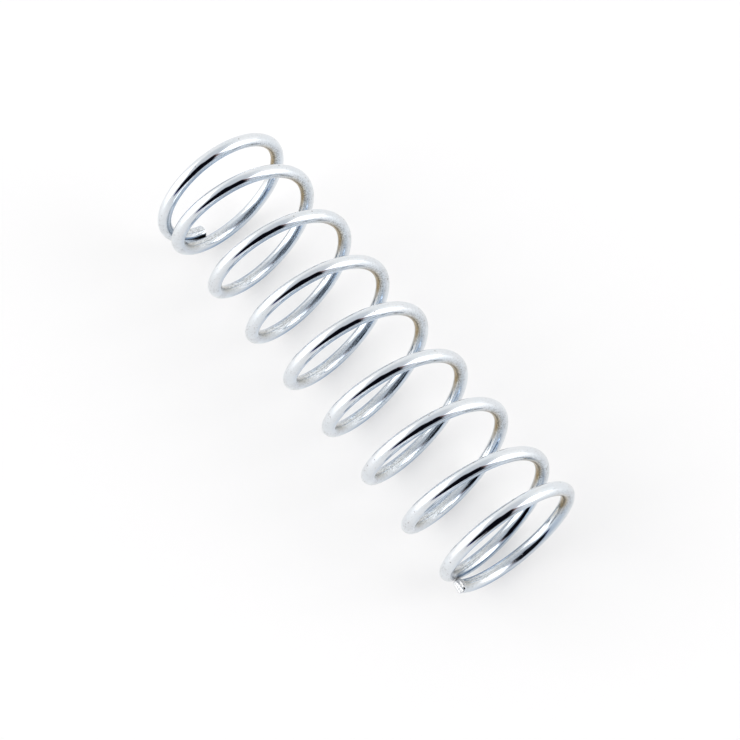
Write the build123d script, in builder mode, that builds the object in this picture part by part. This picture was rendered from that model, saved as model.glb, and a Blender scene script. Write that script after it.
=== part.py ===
from build123d import *

import os
from math import cos, pi, radians, sin, sqrt

# Small compression spring: one length of round steel wire, coiled left-handed, with closed,
# unground ends. It lies on its side as it comes to rest: the coil axis runs along X, +Z is up,
# and the origin is the middle of the coil's length, on the surface that it lies on.

# Driving dimensions, millimetres, turns and degrees
wire_diameter = 1.0
wire_sides = 10  # flats that stand for the round section, which keep the long coil's mesh light
outer_diameter = 11.0
free_length = 35.8
total_turns = 9.11
seat_turns = 0.36  # flat stretch of wire at each end, before the pitch opens
tip_clearance = 0.04  # left between each cut tip and the turn that it closes on
tip_angle = 207.0  # place of the +X tip round the axis, from +Y towards +Z
bevel_depth = 0.25  # bite of the cut-off blade, on the outer side of each tip
bevel_angle = 18.0  # slope of that bite to the wire's own direction
points_per_turn = 16  # guide points of the wire's centre line

# Sizes that follow
wire_radius = wire_diameter / 2
mean_radius = outer_diameter / 2 - wire_radius
axis_height = outer_diameter / 2
centre_length = free_length - wire_diameter
first_gap = wire_diameter + tip_clearance
open_turns = total_turns - 2 * seat_turns

# The pitch grows evenly from nothing, at the end of the seat, to its full value. The ramp is as
# long as brings the second turn one wire and the clearance away from the tip, so its length is
# ramp_per_pitch times the full pitch, and the free length then fixes that pitch.
ramp_per_pitch = (1 - seat_turns) ** 2 / (2 * first_gap)
pitch = (open_turns - sqrt(open_turns**2 - 4 * ramp_per_pitch * centre_length)) / (2 * ramp_per_pitch)
ramp_turns = ramp_per_pitch * pitch


def rise(turns):
    """Axial distance of the wire's centre from the tip, after a number of turns."""
    if turns <= seat_turns:
        return 0.0
    if turns < seat_turns + ramp_turns:
        return pitch * (turns - seat_turns) ** 2 / (2 * ramp_turns)
    if turns <= total_turns / 2:
        return pitch * (turns - seat_turns - ramp_turns / 2)
    return centre_length - rise(total_turns - turns)


def centre_line(turns):
    """Point of the wire's centre line: the +X tip is at 0 turns and the -X tip at total_turns."""
    angle = radians(tip_angle) + 2 * pi * turns
    return Vector(
        centre_length / 2 - rise(turns),
        mean_radius * cos(angle),
        axis_height + mean_radius * sin(angle),
    )


def along_wire(turns):
    """Direction of the wire where it lies flat on a seat, from the +X tip to the -X tip."""
    angle = radians(tip_angle) + 2 * pi * turns
    return Vector(0, -sin(angle), cos(angle))


def outward(turns):
    """Direction from the coil's axis to the wire."""
    angle = radians(tip_angle) + 2 * pi * turns
    return Vector(0, cos(angle), sin(angle))


steps = round(total_turns * points_per_turn)
guide_points = [centre_line(total_turns * step / steps) for step in range(steps + 1)]
# Each cut tip: its place in turns, and the way out of the wire there
tips = [(0.0, -along_wire(0)), (total_turns, along_wire(total_turns))]

with BuildPart() as spring:
    with BuildLine():
        Spline(
            guide_points,
            tangents=[along_wire(0), along_wire(total_turns)],
            tangent_scalars=[1, 1],
        )
    with BuildSketch(Plane(origin=guide_points[0], x_dir=(1, 0, 0), z_dir=along_wire(0))):
        RegularPolygon(wire_radius, wire_sides, rotation=90)
    sweep(is_frenet=True)

    # The cut-off blade bites the outer side of each tip: a flat, sloping back into the wire
    for turns, way_out in tips:
        bitten_side = outward(turns).rotate(Axis((0, 0, 0), outward(turns).cross(way_out)), bevel_angle)
        bite_corner = centre_line(turns) + outward(turns) * (wire_radius - bevel_depth)
        with BuildSketch(Plane(origin=bite_corner, x_dir=(1, 0, 0), z_dir=bitten_side)):
            Rectangle(first_gap, 2 * wire_diameter)
        extrude(amount=wire_radius, mode=Mode.SUBTRACT)

spring.part.label = "spring"

os.makedirs("parts", exist_ok=True)
export_step(spring.part, "parts/spring.step")

print(f"pitch {pitch:.3f} mm, ramp {ramp_turns:.3f} turns, clear gap {pitch - wire_diameter:.3f} mm")
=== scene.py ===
# %% [markdown]
# A small compression spring, lying on white paper under soft studio light.
#
# The real thing is one length of round steel wire, drawn through a die, wound on a mandrel and
# plated with bright zinc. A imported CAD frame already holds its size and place. This file dresses
# it: it winds a smooth wire with properly cut tips, and gives it the plating's finish.

from math import cos, inf, pi, radians, sin, sqrt

import bpy
import numpy as np
from mathutils import Matrix, Vector


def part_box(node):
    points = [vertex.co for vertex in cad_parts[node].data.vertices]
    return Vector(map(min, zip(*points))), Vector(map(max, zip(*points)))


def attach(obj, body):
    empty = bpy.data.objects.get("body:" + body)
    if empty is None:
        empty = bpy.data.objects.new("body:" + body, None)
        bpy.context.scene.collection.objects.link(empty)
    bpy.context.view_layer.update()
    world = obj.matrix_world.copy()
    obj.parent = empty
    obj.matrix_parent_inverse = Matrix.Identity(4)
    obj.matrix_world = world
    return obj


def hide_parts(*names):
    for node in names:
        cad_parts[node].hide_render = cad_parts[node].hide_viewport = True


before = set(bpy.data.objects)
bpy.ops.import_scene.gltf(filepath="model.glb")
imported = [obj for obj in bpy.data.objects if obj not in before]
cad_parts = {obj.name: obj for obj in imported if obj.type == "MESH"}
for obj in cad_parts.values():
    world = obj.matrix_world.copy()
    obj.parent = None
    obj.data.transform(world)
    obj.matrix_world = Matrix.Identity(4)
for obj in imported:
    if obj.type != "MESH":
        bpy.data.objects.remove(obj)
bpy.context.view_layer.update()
low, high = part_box("spring")
print("CAD box in millimetres:", [round(1000 * side, 2) for side in high - low])

# %% [markdown]
# The sizes that a spring maker writes on the order: wire, outside diameter, free length, number
# of turns, and how the ends are closed. The outside diameter and the height of the axis are read
# from the frame, so that the wire lies exactly where the CAD says.

# %% Sizes of the spring
MM = 0.001
WIRE_RADIUS = 0.5 * MM
COIL_RADIUS = (high.z - low.z) / 2 - WIRE_RADIUS
FREE_LENGTH = 35.8 * MM
TURNS = 9.11
SEAT_TURNS = 0.36
TIP_GAP = 0.04 * MM
TIP_ANGLE = radians(207)

middle = (low + high) / 2
one_turn = 2 * pi * COIL_RADIUS
wire_rise = FREE_LENGTH - 2 * WIRE_RADIUS
second_turn = 2 * WIRE_RADIUS + TIP_GAP
open_turns = TURNS - 2 * SEAT_TURNS
# One turn from the tip, the wire has risen by second_turn: that gives the ramp for a pitch. All
# the open turns have to add up to wire_rise: that gives the pitch, as the root of a quadratic.
ramp_per_pitch = (1 - SEAT_TURNS) ** 2 / (2 * second_turn)
pitch = (open_turns - sqrt(open_turns**2 - 4 * ramp_per_pitch * wire_rise)) / (2 * ramp_per_pitch)
ramp_turns = ramp_per_pitch * pitch
print(f"pitch {pitch / MM:.2f} mm, reached over {ramp_turns:.2f} turns")

# %% [markdown]
# A coil could be a Screw modifier, but that has one pitch all the way, and a real spring doesn't:
# its end turns close up until the cut tip touches its neighbour. So the centre line is computed.
# The pitch is nothing on the seat, grows evenly along a ramp, and then stays the same.


# %% The centre line of the wire
def rise(turns):
    """How far along the axis the wire has come: the pitch, added up from the tip.

    Over the ramp that sum is a parabola, and after it a straight line. The second half of the
    coil is the first half, seen from the other tip.
    """
    from_tip = np.minimum(turns, TURNS - turns)
    on_ramp = np.clip(from_tip - SEAT_TURNS, 0, ramp_turns)
    past_ramp = np.maximum(from_tip - SEAT_TURNS - ramp_turns, 0)
    half = pitch * (on_ramp**2 / (2 * ramp_turns) + past_ramp)
    return np.where(turns > TURNS / 2, wire_rise - half, half)


def local_pitch(turns):
    """The slope of that rise: nothing on the seats, growing evenly on the ramps, then the pitch."""
    from_tip = np.minimum(turns, TURNS - turns)
    return pitch * np.clip((from_tip - SEAT_TURNS) / ramp_turns, 0, 1)


def centre_line(turns):
    """Points on a circle round the axis, moved along it by the rise, and three directions there.

    Returns the points, the wire's own direction, the way out from the axis, and the third
    direction square to both.
    """
    angle = TIP_ANGLE + 2 * pi * turns
    round_y, round_z = np.cos(angle), np.sin(angle)
    points = np.stack(
        [
            middle.x + wire_rise / 2 - rise(turns),
            middle.y + COIL_RADIUS * round_y,
            middle.z + COIL_RADIUS * round_z,
        ],
        axis=-1,
    )
    along = np.stack([-local_pitch(turns), -one_turn * round_z, one_turn * round_y], axis=-1)
    along /= np.linalg.norm(along, axis=-1, keepdims=True)
    outward = np.stack([0 * angle, round_y, round_z], axis=-1)
    return points, along, outward, np.cross(along, outward)


tip_points = centre_line(np.array([0.0, TURNS]))[0]
print("tips at", [tuple(np.round(point / MM, 2)) for point in tip_points], "mm")

# %% [markdown]
# The wire is a round profile carried along that line. At each tip the profile first turns over a
# small edge radius and then closes to a point, which makes the sheared face. Giving every ring
# its own place and radius keeps the whole wire, tips and all, one closed grid.

# %% Rings of the wire
AROUND = 48
RINGS_PER_TURN = 150
EDGE_RADIUS = 0.035 * MM
EDGE_STEPS = 4
FACE_RINGS = 9
TIP_RINGS = 40
TIP_STRETCH = 1.6 * MM


def half_profile():
    """Places from the tip, in turns, and radii of the rings, from the middle of the cut face on.

    The face's rings all lie at the tip, with radii growing evenly from none. The edge is a
    quarter circle. Then come close rings, and at last the evenly spaced rings of the coil.
    """
    face = np.linspace(0, WIRE_RADIUS - EDGE_RADIUS, FACE_RINGS)[1:]
    turn_over = np.linspace(0, pi / 2, EDGE_STEPS + 1)[1:]
    edge_place = EDGE_RADIUS * (1 - np.cos(turn_over))
    edge_radius = WIRE_RADIUS - EDGE_RADIUS + EDGE_RADIUS * np.sin(turn_over)
    close = np.linspace(EDGE_RADIUS, TIP_STRETCH, TIP_RINGS)[1:]
    start = TIP_STRETCH / one_turn
    coil = np.linspace(start, TURNS / 2, round((TURNS / 2 - start) * RINGS_PER_TURN))[1:]
    place = np.concatenate([0 * face, edge_place / one_turn, close / one_turn, coil])
    radius = np.concatenate([face, edge_radius, np.full(len(close) + len(coil), WIRE_RADIUS)])
    return place, radius


half_turns, half_radius = half_profile()
ring_turns = np.concatenate([half_turns, TURNS - half_turns[-2::-1]])
ring_radius = np.concatenate([half_radius, half_radius[-2::-1]])
print(len(ring_turns), "rings of", AROUND, "points")

# %% [markdown]
# The cut-off blade of a coiling machine shears the wire. It leaves a flat bite on the outer side
# of the tip, a face that is half smooth and half torn, and a thin burr along the edge where the
# blade came out. The bite is made by pressing every point that lies beyond a sloping plane back
# onto it. The torn face, the burr and a small pit are a height over the face.

# %% The sheared tips
BITE_DEPTH = 0.25 * MM
BITE_SLOPE = radians(18)
BITE_TURN = radians(-11)
TEAR_HEIGHT = 0.006 * MM
BURR_OFFSET = 0.3 * MM
BURR_LEAN = 0.3
BURR_HEIGHT = 0.05 * MM
BURR_WIDTH = 0.05 * MM
BURR_MIDDLE = 0.05 * MM
BURR_REACH = 0.34 * MM
PIT_PLACE = (0.17 * MM, 0.38 * MM)
PIT_DEPTH = 0.09 * MM
PIT_RADIUS = 0.07 * MM


def press_flat(points, corner, facing):
    """Moves each point that is beyond a plane straight back onto it, and leaves the others."""
    beyond = np.clip((points - corner) @ facing, 0, None)
    return points - beyond[..., None] * facing


def pit_mask(across, up):
    """1 in the middle of the pit in a cut face, falling off as a bell curve."""
    from_pit = np.hypot(across - PIT_PLACE[0], up - PIT_PLACE[1])
    return np.exp(-((from_pit / PIT_RADIUS) ** 2))


def face_height(across, up):
    """Height of the torn face over a flat one, from the place across the wire's section.

    The sum of two crossing waves, the burr as a rounded ridge along a chord of the face, and the
    pit as a round dip at the burr's end.
    """
    tears = np.sin(across / MM * 23 + 1) + np.sin(up / MM * 31 + across / MM * 12)
    from_chord = across + BURR_LEAN * up - BURR_OFFSET
    reach = np.clip(1 - np.abs(up - BURR_MIDDLE) / BURR_REACH, 0, 1)
    burr = BURR_HEIGHT * np.exp(-((from_chord / BURR_WIDTH) ** 2)) * reach
    return TEAR_HEIGHT * tears + burr - PIT_DEPTH * pit_mask(across, up)


print(f"each tip: a bite {BITE_DEPTH / MM} mm deep, a burr {BURR_HEIGHT / MM} mm high")

# %% [markdown]
# Now the grid. Its two parameters are the ring and the angle round the wire. Along with each
# point goes its place on the straight wire, before it was wound: across, across, and along, in
# millimetres. Patterns that follow the wire, such as tool marks, are worked out on that place.

# %% Wind the wire
# Tolerances: in turns from the tip, and in metres.
AT_TIP = 1e-9
HAS_MOVED = 1e-7

degrees_round = np.arange(AROUND)[None, :] * (360 / AROUND)


def section_places(radii):
    """Places of the ring's points across the section: outward from the coil, and sideways."""
    phi = np.radians(degrees_round)
    return radii[:, None] * np.cos(phi), radii[:, None] * np.sin(phi)


def wound_wire(turns, radii):
    """Surface of the wire: centre plus radius times (cosine outward plus sine sideways).

    Returns the points and, for each, its place on the straight wire and how bare of plating
    it is, as arrays with one row for each ring.
    """
    centre, along, outward, side = (a[:, None, :] for a in centre_line(turns))
    across, up = section_places(radii)
    points = centre + across[..., None] * outward + up[..., None] * side
    bare = np.zeros_like(across)
    within_edge = radii < WIRE_RADIUS - EDGE_RADIUS / 2
    for tip, way_out in ((0.0, -1), (TURNS, 1)):
        tip_centre, tip_along, tip_outward, tip_side = (a[0] for a in centre_line(np.array([tip])))
        from_tip = np.abs(turns - tip)
        leaving = way_out * tip_along
        near_tip = (from_tip < TIP_STRETCH / one_turn)[:, None]
        on_face = ((from_tip < AT_TIP) & within_edge)[:, None]
        height = face_height(-across, way_out * up) * on_face
        points = points + height[..., None] * leaving
        bitten = cos(BITE_TURN) * tip_outward + way_out * sin(BITE_TURN) * tip_side
        corner = tip_centre + (WIRE_RADIUS - BITE_DEPTH) * bitten
        facing = cos(BITE_SLOPE) * bitten + sin(BITE_SLOPE) * leaving
        pressed = press_flat(points, corner, facing)
        moved = np.linalg.norm(pressed - points, axis=-1) > HAS_MOVED
        points = np.where(near_tip[..., None], pressed, points)
        bare = np.maximum(bare, (on_face | (moved & near_tip)).astype(float))
    straight = np.stack([across, up, (turns * one_turn)[:, None] + 0 * across], axis=-1) / MM
    return points, straight, bare


points, straight, bare = wound_wire(ring_turns, ring_radius)
steps = np.diff(centre_line(ring_turns)[0], axis=0)
print("wound", round(np.linalg.norm(steps, axis=1).sum() / MM), "mm of wire")

# %% [markdown]
# Bright zinc gets a clear passivating film, and its thickness shows as a faint colour. It isn't the
# same all round: this coil is blue in patches, partly where the film is thin and partly as painted
# reflection and shade, the blue and the dark that the wire's sides mirror from around them. Inside
# the coil it is straw to brown on two sides, and the brown is partly painted shade, the dark inside
# the coil. Those two sides are also dulled and mottled, where springs rubbed in the plating barrel,
# and the bottom of each turn is a little matt on its inner side. It could be painted. Here each of
# these is a few soft spots, placed by angle round the coil and angle round the wire, so that every
# turn gets the same.

# %% Map the film and the dull spots
# Each spot: its strength, then its middle round the wire, how far that middle moves for each
# degree round the coil, its width, its middle round the coil, and its width, all in degrees.
# The blue spots are partly a thin film and partly painted reflection and shade: the blue and the
# dark that the wire's sides mirror.
BLUE_SPOTS = (
    (1.0, 251.8, -0.2, 36, 126, 60),
    (0.6, 220, 0, 32, 312, 40),
    (0.9, 112, 0, 28, 248, 42),
    (1.0, 273, 0, 23, 254, 28),
    (0.2, 245.4, 1.1, 26, 2, 30),
)
# The brown spot inside the coil is partly a warm film and partly painted shade, the dark inside the
# coil.
BROWN_SPOTS = ((1.0, 202.4, 1.1, 30, 12, 29),)
STRAW_SPOTS = ((1.0, 196, 0, 30, 206, 17),)
DULL_SPOTS = ((1.0, 0, 0, inf, 196, 32), (1.0, 0, 0, inf, 8, 26), (0.7, 175, 0, 62, 262, 62))
MATT_SPOTS = ((1.0, 175, 0, 62, 262, 62),)
MOTTLED_SPOTS = ((0.62, 230.4, 1.1, 42, 12, 34), (0.45, 165, 0.5, 50, 224, 30))

# Painted shade in the crevices between turns: how fast it fades as the gap opens, and its width
# round the wire in degrees.
CREVICE_SHADE_REACH = 0.15 * MM
CREVICE_SHADE_WIDTH = 46


def past(angle, centre):
    """How far an angle is past another, from -180 to 180 degrees."""
    return (angle - centre + 180) % 360 - 180


def bell(distance, width):
    """1 at no distance, falling off on both sides as a bell curve."""
    return np.exp(-((distance / width) ** 2))


def spot_layers(turns, spots):
    """One map for each spot: its strength, times a bell curve each way."""
    coil = np.degrees(TIP_ANGLE + 2 * pi * turns)[:, None]
    for strength, wire_middle, drift, wire_width, coil_middle, coil_width in spots:
        past_middle = past(coil, coil_middle)
        round_wire = past(degrees_round, wire_middle + drift * past_middle)
        yield strength * bell(past_middle, coil_width) * bell(round_wire, wire_width)


def strongest(turns, spots):
    """The strongest of the spots at each point."""
    return np.maximum.reduce(list(spot_layers(turns, spots)))


def crevice_shade_map(turns, radii):
    """Painted shade in the crevice where a turn nearly meets the next, and in the pit of each cut
    face.

    The gap is the difference of the two turns' rises less a wire's thickness. Each turn's next
    one lies at a quarter of the way round the wire, and the one before it at three quarters.
    """
    to_next = np.where(turns + 1 <= TURNS, rise(turns + 1) - rise(turns), 1)
    to_last = np.where(turns >= 1, rise(turns) - rise(turns - 1), 1)
    crevice = 0 * degrees_round
    for spacing, side in ((to_next, 90), (to_last, 270)):
        narrow = np.exp(-(spacing - 2 * WIRE_RADIUS) / CREVICE_SHADE_REACH)[:, None]
        crevice = np.maximum(crevice, narrow * bell(past(degrees_round, side), CREVICE_SHADE_WIDTH))
    across, up = section_places(radii)
    pit = pit_mask(-across, np.sign(turns - TURNS / 2)[:, None] * up)
    return np.where(radii[:, None] > WIRE_RADIUS - EDGE_RADIUS, crevice, pit)


maps = {
    "bare_metal": bare,
    # The blue map is partly film and partly painted reflection and shade.
    "blue_film_reflection_and_shade": np.clip(sum(spot_layers(ring_turns, BLUE_SPOTS)), 0, 1),
    # The brown map is partly film and partly painted shade inside the coil.
    "brown_film_and_shade": strongest(ring_turns, BROWN_SPOTS),
    "straw_film": strongest(ring_turns, STRAW_SPOTS),
    "dulled": strongest(ring_turns, DULL_SPOTS),
    "matt_side": strongest(ring_turns, MATT_SPOTS),
    "mottled": strongest(ring_turns, MOTTLED_SPOTS),
    # Painted shade in the crevices between turns and in the pits of the cut faces.
    "crevice_shade": crevice_shade_map(ring_turns, ring_radius),
}
print("means of the maps:", {name: round(float(values.mean()), 2) for name, values in maps.items()})

# %% [markdown]
# A mesh wants one list of points and one of faces. Each pair of rings gives a band of four-sided
# faces, and one point in the middle of each cut face closes the tip with a fan of triangles. All
# the index sums are done on whole arrays, which is quick even for a long wire.


# %% Build the mesh
def grid_faces(rings, around):
    """Corners of the four-sided faces between each ring and the next, closed round the wire."""
    ring = np.arange(rings - 1)[:, None] * around
    here = ring + np.arange(around)[None, :]
    beside = ring + (np.arange(around)[None, :] + 1) % around
    return np.stack([here, beside, around + beside, around + here], axis=-1)


def fan_faces(ring_start, pole, around, flip):
    """Triangles from one ring to its middle point."""
    here = ring_start + np.arange(around)
    beside = ring_start + (np.arange(around) + 1) % around
    pole = np.full(around, pole)
    return np.stack([beside, here, pole] if flip else [here, beside, pole], axis=-1)


def with_poles(grid):
    """One row for each point, with the middle of the first and of the last ring at the end."""
    rows = grid.reshape(-1, *grid.shape[2:])
    return np.concatenate([rows, [grid[0].mean(axis=0), grid[-1].mean(axis=0)]])


rings = len(ring_turns)
count = rings * AROUND
faces = grid_faces(rings, AROUND).reshape(-1, 4).tolist()
faces += fan_faces(0, count, AROUND, True).tolist()
faces += fan_faces(count - AROUND, count + 1, AROUND, False).tolist()

mesh = bpy.data.meshes.new("spring_wire")
mesh.from_pydata(with_poles(points), [], faces)
mesh.polygons.foreach_set("use_smooth", np.ones(len(mesh.polygons), bool))

place_attribute = mesh.attributes.new("straight_wire", "FLOAT_VECTOR", "POINT")
place_attribute.data.foreach_set("vector", with_poles(straight).astype(np.float32).ravel())
for name, values in maps.items():
    map_attribute = mesh.attributes.new(name, "FLOAT", "POINT")
    map_attribute.data.foreach_set("value", with_poles(values).astype(np.float32))

mesh.update()
mesh.validate()
spring = bpy.data.objects.new("spring_wire", mesh)
bpy.context.scene.collection.objects.link(spring)
print(len(mesh.vertices), "points,", sum(len(p.vertices) - 2 for p in mesh.polygons), "triangles")

# %% [markdown]
# Shader nodes are easier to read as sums. This small class wraps a socket, so that Python's own
# operators add the Math nodes, and one function adds any other node.


# %% Sockets as numbers
class Signal:
    """A node's output, which can be added, taken away, multiplied and divided."""

    def __init__(self, tree, socket):
        self.tree = tree
        self.socket = socket

    def math(self, operation, *values):
        sockets = dict(enumerate(values))
        return add_node(self.tree, "ShaderNodeMath", {"operation": operation}, sockets)

    def __add__(self, other):
        return self.math("ADD", self, other)

    def __sub__(self, other):
        return self.math("SUBTRACT", self, other)

    def __rsub__(self, other):
        return self.math("SUBTRACT", other, self)

    def __mul__(self, other):
        return self.math("MULTIPLY", self, other)

    def __truediv__(self, other):
        return self.math("DIVIDE", self, other)

    def __abs__(self):
        return self.math("ABSOLUTE", self)

    __radd__ = __add__
    __rmul__ = __mul__

    def between(self, start, end):
        """0 below start, 1 above end, and an S-shaped step in between. The ends may be swapped."""
        settings = {"interpolation_type": "SMOOTHSTEP"}
        sockets = {"Value": self, "From Min": start, "From Max": end}
        return add_node(self.tree, "ShaderNodeMapRange", settings, sockets)


def add_node(tree, kind, settings=None, sockets=None, output=0):
    """Adds one node: its settings first, then the values or links of its sockets."""
    node = tree.nodes.new(kind)
    for name, value in (settings or {}).items():
        setattr(node, name, value)
    for name, value in (sockets or {}).items():
        if isinstance(value, Signal):
            tree.links.new(value.socket, node.inputs[name])
        else:
            node.inputs[name].default_value = value
    return Signal(tree, node.outputs[output]) if node.outputs else None


def mix_colour(tree, factor, first, second):
    """Blends two colours, given as triples or as signals."""
    first, second = ((*c, 1) if isinstance(c, tuple) else c for c in (first, second))
    sockets = {0: factor, 6: first, 7: second}
    return add_node(tree, "ShaderNodeMix", {"data_type": "RGBA"}, sockets, output=2)


def vector_math(tree, operation, first, second, output=0):
    """One Vector Math node. The dot product is its output 1."""
    sockets = {0: first, 1: second}
    return add_node(tree, "ShaderNodeVectorMath", {"operation": operation}, sockets, output)


def empty_tree(owner):
    """The node tree of a material or a world, with nothing in it."""
    owner.use_nodes = True
    owner.node_tree.nodes.clear()
    return owner.node_tree


# %% [markdown]
# Bright zinc is a mirror with a faint blue cast. It isn't perfect: the coiling rollers leave faint
# marks across the wire, and the bath leaves a soft grain, fine specks and a few pits. Colour,
# roughness and height could each be one flat value. Here the maps of the film, the dull spots,
# the painted shade in the crevices and the bare cut faces are laid over each other, one coat at a
# time, and the blue and brown coats carry painted reflection and shade too. All of it is worked
# out on the straight wire, so the marks stay square to the wire all round the coil.

# %% Zinc plate
COOL_ZINC = (0.745, 0.785, 0.82)
WARM_ZINC = (0.79, 0.81, 0.83)
DULL_ZINC = (0.62, 0.66, 0.70)
# Blue of the film, which also paints mirrored blue and shade.
BLUE_FILM_REFLECTION_AND_SHADE = (0.14, 0.285, 0.48)
STRAW_FILM = (0.36, 0.28, 0.14)
# Brown of the film, which also paints the shade inside the coil.
BROWN_FILM_AND_SHADE = (0.29, 0.195, 0.055)
GRAIN_SHADE = (0.36, 0.36, 0.36)
PALE_MOTTLE = (0.82, 0.84, 0.82)
DARK_MOTTLE = (0.12, 0.13, 0.12)
FINE_SPECK = (0.18, 0.165, 0.15)
PIT_SHADE = (0.14, 0.12, 0.12)
BARE_STEEL = (0.60, 0.60, 0.60)
# Colour of the painted shade in the crevices and the pits.
CREVICE_SHADE = (0.02, 0.02, 0.02)
BUMP_DISTANCE = 0.006 * MM
BUMP_STRENGTH = 0.5


def noise(tree, place, each_mm, detail=2.0, roughness=0.5):
    """Cloudy noise, with its own scale in cycles for each millimetre along each direction."""
    scaled = vector_math(tree, "MULTIPLY", place, each_mm)
    sockets = {"Vector": scaled, "Scale": 1.0, "Detail": detail, "Roughness": roughness}
    return add_node(tree, "ShaderNodeTexNoise", {"noise_dimensions": "3D"}, sockets)


def specks(tree, place, each_mm, size, share):
    """Round dots: 1 near the middle of a share of the cells of a Voronoi pattern, else 0."""
    sockets = {"Vector": place, "Scale": each_mm}
    distance = add_node(tree, "ShaderNodeTexVoronoi", {}, sockets)
    cell = Signal(tree, distance.socket.node.outputs["Color"])
    chance = add_node(tree, "ShaderNodeSeparateXYZ", {}, {0: cell})
    return distance.between(size, 0.6 * size) * chance.between(share + 0.02, share - 0.02)


def read_map(tree, name, output="Fac"):
    """One of the mesh's attributes."""
    return add_node(tree, "ShaderNodeAttribute", {"attribute_name": name}, output=output)


def zinc_plate():
    """The plated wire: coats of colour, a mirror that is matt in places, and a fine bump."""
    material = bpy.data.materials.new("zinc_plate")
    tree = empty_tree(material)
    place = read_map(tree, "straight_wire", "Vector")
    map_of = {name: read_map(tree, name) for name in maps}
    brown, mottled, bare_face = map_of["brown_film_and_shade"], map_of["mottled"], map_of["bare_metal"]

    clouds = noise(tree, place, (1.3, 1.3, 0.8), detail=3)
    grain = noise(tree, place, (8, 8, 8), detail=3, roughness=0.7)
    roller_marks = noise(tree, place, (4, 4, 30), detail=1)
    mottle = noise(tree, place, (9, 9, 9), detail=1)
    dull = map_of["dulled"] * clouds.between(0.3, 0.55)
    fine = specks(tree, place, 6.5, 0.38, 0.08 + 0.5 * dull)
    pits = specks(tree, place, 2.2, 0.16, 0.08)

    colour = mix_colour(tree, clouds.between(0.3, 0.7), COOL_ZINC, WARM_ZINC)
    for strength, coat in (
        (dull * 0.6, DULL_ZINC),
        # Partly painted reflection and shade: the blue and the dark that the wire's sides mirror.
        (map_of["blue_film_reflection_and_shade"] * 0.9, BLUE_FILM_REFLECTION_AND_SHADE),
        (map_of["straw_film"] * 0.5, STRAW_FILM),
        # Partly painted shade: the dark inside the coil.
        (brown * (1.3 + 0.5 * clouds), BROWN_FILM_AND_SHADE),
        (grain.between(0.5, 0.72) * (0.12 + 0.4 * dull), GRAIN_SHADE),
        (mottle.between(0.46, 0.38) * mottled * 0.5, PALE_MOTTLE),
        (mottle.between(0.51, 0.57) * mottled, DARK_MOTTLE),
        (fine * (0.08 + 0.6 * dull), FINE_SPECK),
        (pits * 0.6, PIT_SHADE),
        (bare_face * 0.8, BARE_STEEL),
        # Painted shade in the crevices between turns and the pits of the cut faces.
        (map_of["crevice_shade"].between(0.15, 0.5), CREVICE_SHADE),
    ):
        colour = mix_colour(tree, strength, colour, coat)

    matt = 0.14 * dull + 0.10 * map_of["matt_side"] + 0.10 * brown
    roughness = 0.025 + 0.02 * clouds + matt + 0.25 * pits + 0.3 * bare_face
    height = grain * (0.2 + 1.6 * dull) + roller_marks * 0.3 - pits * 1.5 - fine * 0.5
    sockets = {"Height": height, "Strength": BUMP_STRENGTH, "Distance": BUMP_DISTANCE}
    bump = add_node(tree, "ShaderNodeBump", {}, sockets)
    sockets = {"Base Color": colour, "Roughness": roughness, "Metallic": 1.0, "Normal": bump}
    surface = add_node(tree, "ShaderNodeBsdfPrincipled", {}, sockets)
    add_node(tree, "ShaderNodeOutputMaterial", {}, {"Surface": surface})
    return material


mesh.materials.append(zinc_plate())
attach(spring, "root")
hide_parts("spring")
print("the wire stands for the CAD node spring")

# %% [markdown]
# Polished metal shows its surroundings, so the surroundings are half of its look. Here they are a
# pale room with two soft lamps and their glow, left and right, and the dark shape of a camera
# stand with its hood, sleeve and strap, which every turn mirrors as a black streak. They could be
# lamps and cards. As windows in a world they have soft edges, need no geometry, and look the same
# from every part of so small a thing. Mirrors and glass see the white behind it all, as the
# camera does, and only the camera doesn't see the lamps and the stand.

# %% The room
WALLS = (0.95, 0.97, 0.99)
CEILING = (0.68, 0.71, 0.75)
CEILING_FROM = (0.5, 1.0)
WHITE = (1.0, 1.0, 1.0)
GLOW = (1.18, 1.18, 1.18)
LAMP = (3.2, 3.2, 3.2)
HOOD = (0.62, 0.64, 0.70)
SLEEVE = (0.02, 0.035, 0.20)
STRAP = (0.22, 0.11, 0.10)
STAND = (0.003, 0.003, 0.006)
# Each thing: its colour, then one or two shapes. A shape is azimuth, elevation, half width and
# half height, the softness of both, and a lean, all in degrees.
STUDIO = (
    (GLOW, (58, 18, 32, 32, 24, 20), (225, 22, 34, 32, 22, 20)),
    (HOOD, (343, 30, 42, 42, 12, 14)),
    (SLEEVE, (325, 11, 22, 17, 5, 5, -30)),
    (STRAP, (10, 46, 6, 19, 3, 5, 4)),
    (STAND, (352, 26, 17, 38, 3, 4), (330, 33, 23, 30, 4, 5, -25)),
    (LAMP, (45, 18, 18, 27, 6, 9)),
    (LAMP, (240, 21, 31, 26, 9, 9)),
)
RAYS_THAT_SEE = ("Is Camera Ray", "Is Glossy Ray", "Is Transmission Ray")


def direction(azimuth, elevation):
    """Unit vector from two angles in degrees: round from +X towards +Y, and up."""
    a, e = radians(azimuth), radians(elevation)
    return Vector((cos(a) * cos(e), sin(a) * cos(e), sin(e)))


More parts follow.
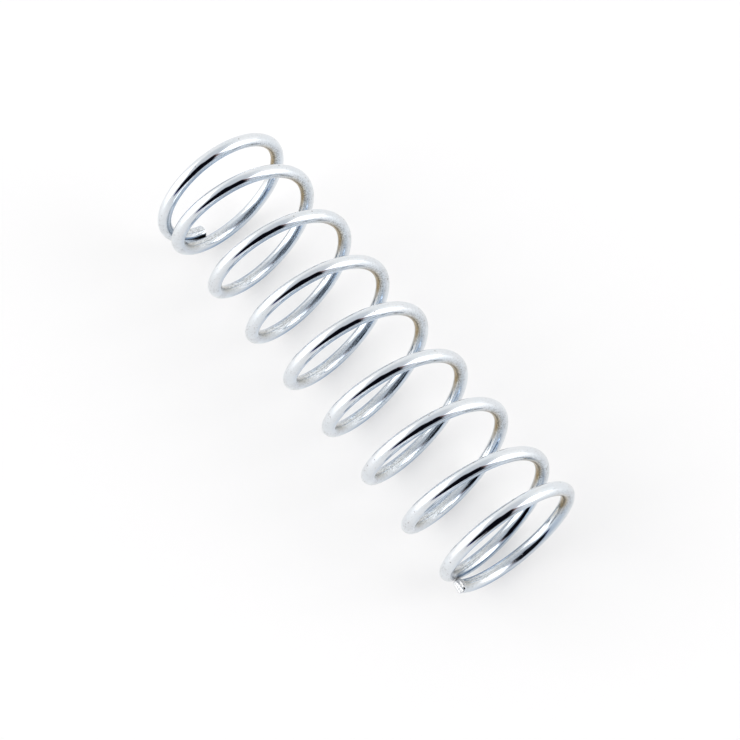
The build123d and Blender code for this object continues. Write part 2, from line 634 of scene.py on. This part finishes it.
def window(tree, ray, azimuth, elevation, half_width, half_height, soft_width, soft_height, lean=0):
    """1 inside a soft-edged rectangle of sky and 0 outside, all sizes in degrees."""
    ahead = direction(azimuth, elevation)
    sideways = Matrix.Rotation(radians(lean), 3, ahead) @ direction(azimuth + 90, 0)
    upright = ahead.cross(sideways)
    depth, shift, lift = (
        vector_math(tree, "DOT_PRODUCT", ray, tuple(axis), output=1)
        for axis in (ahead, sideways, upright)
    )
    yaw = abs(depth.math("ARCTAN2", shift, depth)) * (180 / pi)
    level = depth.math("SQRT", depth * depth + shift * shift)
    tilt = abs(depth.math("ARCTAN2", lift, level)) * (180 / pi)
    inside_width = yaw.between(half_width + soft_width, half_width - soft_width)
    inside_height = tilt.between(half_height + soft_height, half_height - soft_height)
    return inside_width * inside_height


def seeing_rays(tree):
    """Three signals: 1 for a camera ray, for a glossy ray, and for a transmission ray."""
    return [add_node(tree, "ShaderNodeLightPath", output=kind) for kind in RAYS_THAT_SEE]


def studio():
    """The world: walls, a greyer ceiling from a given height on, then the windows in turn."""
    world = bpy.data.worlds.new("studio")
    tree = empty_tree(world)
    ray = add_node(tree, "ShaderNodeTexCoord")
    height = add_node(tree, "ShaderNodeSeparateXYZ", {}, {0: ray}, output=2)
    to_camera, to_gloss, to_glass = seeing_rays(tree)

    colour = mix_colour(tree, to_camera + to_gloss + to_glass, WALLS, WHITE)
    colour = mix_colour(tree, height.between(*CEILING_FROM), colour, CEILING)
    for paint, *shapes in STUDIO:
        mask = window(tree, ray, *shapes[0])
        for shape in shapes[1:]:
            mask = mask.math("MAXIMUM", mask, window(tree, ray, *shape))
        colour = mix_colour(tree, mask, colour, paint)
    colour = mix_colour(tree, to_camera, colour, WHITE)
    background = add_node(tree, "ShaderNodeBackground", {}, {"Color": colour, "Strength": 1.0})
    add_node(tree, "ShaderNodeOutputWorld", {}, {"Surface": background})
    return world


scene = bpy.context.scene
scene.world = studio()
print("world:", len(scene.world.node_tree.nodes), "nodes")

# %% [markdown]
# The floor is plain white paper. Whoever sees it directly, the camera or a mirror, sees partly
# its own white and partly the real shading, so that the spring keeps its soft shadow. Beyond the
# near end a dark wedge is painted into the paper, which only mirrors see: a painted reflection
# that stands for the foot of the camera stand and carries the black streak on below the horizon.

# %% The floor
FLOOR_REACH = 1.5
FLOOR_OWN_WHITE = 0.4
PAPER = (0.975, 0.955, 0.94)
PAPER_ROUGHNESS = 0.3
FOOT = (0.01, 0.01, 0.01)
FOOT_START = (0.030, 0.056)
FOOT_TURN = 0.07
FOOT_HALF_WIDTH = (0.15, 0.34)


def paper():
    """White paper, with a dark wedge in x and y, painted for glossy rays only where the stand's
    foot would be.
    """
    material = bpy.data.materials.new("paper")
    tree = empty_tree(material)
    to_camera, to_gloss, to_glass = seeing_rays(tree)
    place = add_node(tree, "ShaderNodeTexCoord", output="Object")
    x, y = (
        add_node(tree, "ShaderNodeSeparateXYZ", {}, {0: place}, output=axis) for axis in "XY"
    )
    inner, outer = FOOT_HALF_WIDTH
    # The foot is a painted reflection: the paper turns dark only for glossy rays.
    foot = x.between(*FOOT_START) * abs(y / x + FOOT_TURN).between(outer, inner) * to_gloss
    sockets = {"Base Color": mix_colour(tree, foot, PAPER, FOOT), "Roughness": PAPER_ROUGHNESS}
    shaded = add_node(tree, "ShaderNodeBsdfPrincipled", {}, sockets)
    sockets = {"Color": (*WHITE, 1), "Strength": 1 - foot}
    white = add_node(tree, "ShaderNodeEmission", {}, sockets)
    seen = (to_camera + to_gloss + to_glass) * FLOOR_OWN_WHITE
    surface = add_node(tree, "ShaderNodeMixShader", {}, {0: seen, 1: shaded, 2: white})
    add_node(tree, "ShaderNodeOutputMaterial", {}, {"Surface": surface})
    return material


floor_mesh = bpy.data.meshes.new("floor")
corners = [
    (x * FLOOR_REACH, y * FLOOR_REACH, low.z) for x, y in ((-1, -1), (1, -1), (1, 1), (-1, 1))
]
floor_mesh.from_pydata(corners, [], [(0, 1, 2, 3)])
floor_mesh.materials.append(paper())
floor = bpy.data.objects.new("floor", floor_mesh)
scene.collection.objects.link(floor)
print("floor:", 2 * FLOOR_REACH, "m across")

# %% [markdown]
# The camera looks down steeply, across the coil, through a long lens. It could be placed by its
# coordinates. Two angles and a distance from the point that it aims at say more.

# %% The camera
CAMERA_AZIMUTH = 53.13
CAMERA_ELEVATION = 64.43
CAMERA_DISTANCE = 172.7 * MM
CAMERA_LENS = 117.55
CAMERA_SENSOR = 36
CAMERA_CLIP_START = 0.01
AIM_SHIFT = Vector((1.23 * MM, -0.09 * MM, 0))


def look_at(aim, azimuth, elevation, distance):
    """Place and turn of a level camera that looks at a point from two angles and a distance."""
    back = direction(azimuth - 90, elevation)
    sideways = direction(azimuth, 0)
    upright = back.cross(sideways)
    turn = Matrix((sideways, upright, back)).transposed().to_4x4()
    return Matrix.Translation(aim + back * distance) @ turn


camera_data = bpy.data.cameras.new("camera")
camera_data.lens = CAMERA_LENS
camera_data.sensor_width = CAMERA_SENSOR
camera_data.clip_start = CAMERA_CLIP_START
camera = bpy.data.objects.new("camera", camera_data)
aim = middle + AIM_SHIFT
camera.matrix_world = look_at(aim, CAMERA_AZIMUTH, CAMERA_ELEVATION, CAMERA_DISTANCE)
scene.collection.objects.link(camera)
scene.camera = camera
scene.view_settings.view_transform = "Standard"
print("camera at", [round(along / MM, 1) for along in camera.matrix_world.translation], "mm")
